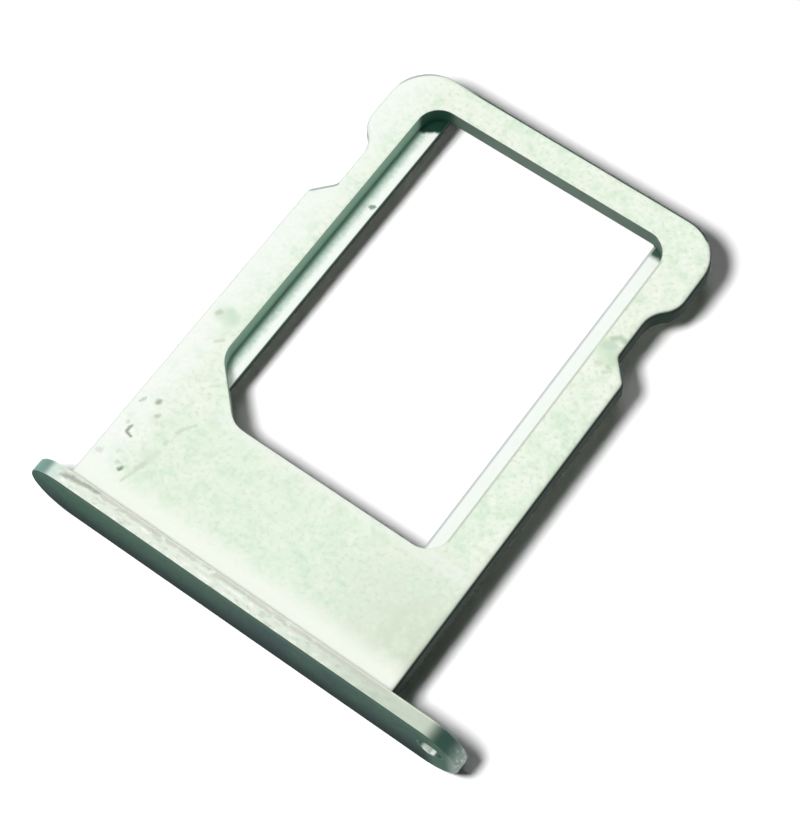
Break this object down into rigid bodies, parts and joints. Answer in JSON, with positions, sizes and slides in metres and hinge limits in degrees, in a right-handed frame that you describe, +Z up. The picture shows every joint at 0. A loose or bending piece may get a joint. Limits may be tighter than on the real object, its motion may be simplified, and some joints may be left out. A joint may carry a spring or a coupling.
{
  "type": "sim card tray",
  "caption": "Flat metal tray that carries a small chip card in a keyed pocket on two side ledges, with side detent notches and a round-ended bezel with an eject hole.",
  "frame": {"origin": "middle of the part's length and of the bezel's length, level with the bezel's lowest line", "axes": "+X along the bezel towards the eject hole, +Y from the bezel towards the far rail (the way the tray slides in), +Z up out of the card pocket"},
  "size_m": [0.0154, 0.0182, 0.0026],
  "materials": {
    "blasted_aluminium": "bead-blasted and anodised, pale green-silver, matt"
  },
  "bodies": {
    "root": {"sim_tray": "blasted_aluminium"}
  },
  "joints": []
}
